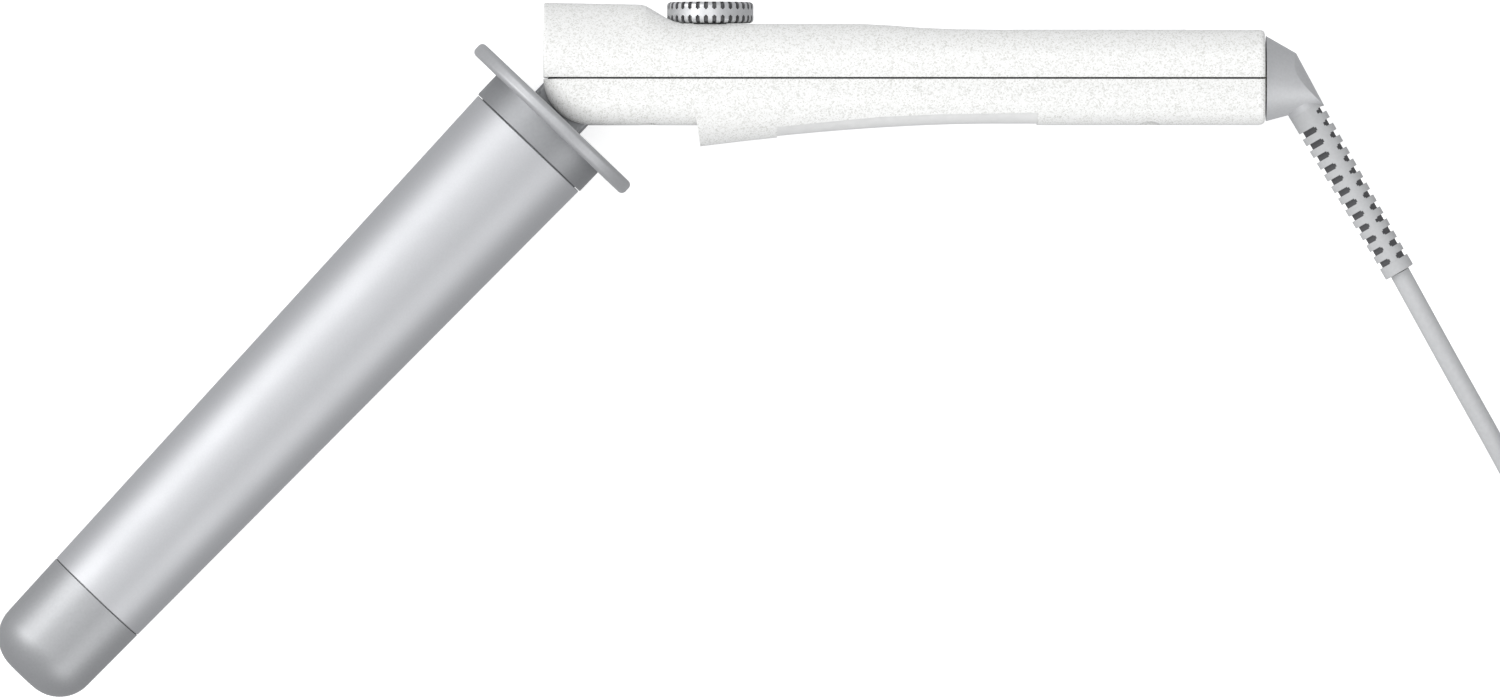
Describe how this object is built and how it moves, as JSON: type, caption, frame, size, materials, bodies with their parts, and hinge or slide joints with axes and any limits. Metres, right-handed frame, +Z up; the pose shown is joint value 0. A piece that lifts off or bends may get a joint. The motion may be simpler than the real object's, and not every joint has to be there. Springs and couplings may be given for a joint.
{
  "type": "curling wand",
  "caption": "Tapered clampless curling wand with a round heat shield, a folding white handle with a dial, and a swivel cord.",
  "frame": {"origin": "middle of the footprint of the wand without its free cord, on the surface it lies on; the wand lies on its side", "axes": "+X along the handle towards the cord, +Y to the handle's top, +Z up, along the fold hinge's pin"},
  "size_m": [0.4111, 0.159, 0.0474],
  "materials": {
    "pearl_white": "white pearl lacquer with fine sparkle",
    "pad_white": "smooth satin plastic",
    "badge_white": "smooth gloss",
    "grey_plastic": "fine satin heat-resistant plastic",
    "barrel_coating": "satin ceramic-silver coating",
    "dial_grey": "satin grey metallic",
    "relief_grey": "soft matte",
    "cord_grey": "smooth satin vinyl",
    "tie_black": "woven hook-and-loop strap",
    "steel": "zinc plated",
    "contact_brass": "polished strip",
    "board_green": "solder mask",
    "component_black": "moulded",
    "capacitor_yellow": "dipped",
    "fuse_glass": "fired",
    "natural_nylon": "natural nylon",
    "lead_insulation": "silicone sleeve",
    "heater_aluminium": "as extruded",
    "mica": "mica board"
  },
  "bodies": {
    "handle": {"upper_shell": "pearl_white", "lower_shell": "pearl_white", "grip_pad": "pad_white", "badge_plate": "badge_white", "shell_screws": "steel", "hinge_pin": "steel", "wave_washers": "steel", "circuit_board": "board_green", "board_screws": "steel", "potentiometer_body": "component_black", "triac": "component_black", "film_capacitor": "capacitor_yellow", "line_fuse": "fuse_glass", "handle_wires": "lead_insulation", "swivel_seat": "natural_nylon", "brush_contacts": "contact_brass", "cord_lead": "cord_grey", "cord_coil": "cord_grey", "coil_tie": "tie_black", "cord_tail": "cord_grey", "plug_body": "cord_grey", "plug_blades": "contact_brass"},
    "barrel": {"barrel_neck": "grey_plastic", "heat_shield": "grey_plastic", "neck_screws": "steel", "barrel_collar": "grey_plastic", "barrel_tube": "barrel_coating", "tip_cap": "grey_plastic", "insulating_ring": "mica", "heater_clamps": "heater_aluminium", "ptc_stones": "fuse_glass", "electrode_plates": "contact_brass", "mica_sheets": "mica", "heater_leads": "lead_insulation", "thermal_cutout": "component_black", "temperature_sensor": "lead_insulation", "end_bracket": "steel", "tip_screw": "steel"},
    "dial": {"temperature_dial": "dial_grey", "dial_shaft": "natural_nylon"},
    "cord_swivel": {"swivel_hub": "natural_nylon", "slip_rings": "contact_brass", "retaining_clip": "steel", "swivel_elbow": "grey_plastic", "strain_relief": "relief_grey", "cord_inner": "cord_grey"}
  },
  "joints": [
    {"name": "barrel_fold", "type": "hinge", "parent": "handle", "child": "barrel", "pos_m": [-0.02648, 0.06202, 0.0237], "axis": [0, 0, 1], "range_deg": [-46.4, 43.6]},
    {"name": "dial_turn", "type": "hinge", "parent": "handle", "child": "dial", "pos_m": [0.00102, 0.0747, 0.0237], "axis": [0, 1, 0], "range_deg": [0, 270]},
    {"name": "cord_swivel_turn", "type": "hinge", "parent": "handle", "child": "cord_swivel", "pos_m": [0.12822, 0.06202, 0.0237], "axis": [1, 0, 0], "continuous": true}
  ]
}
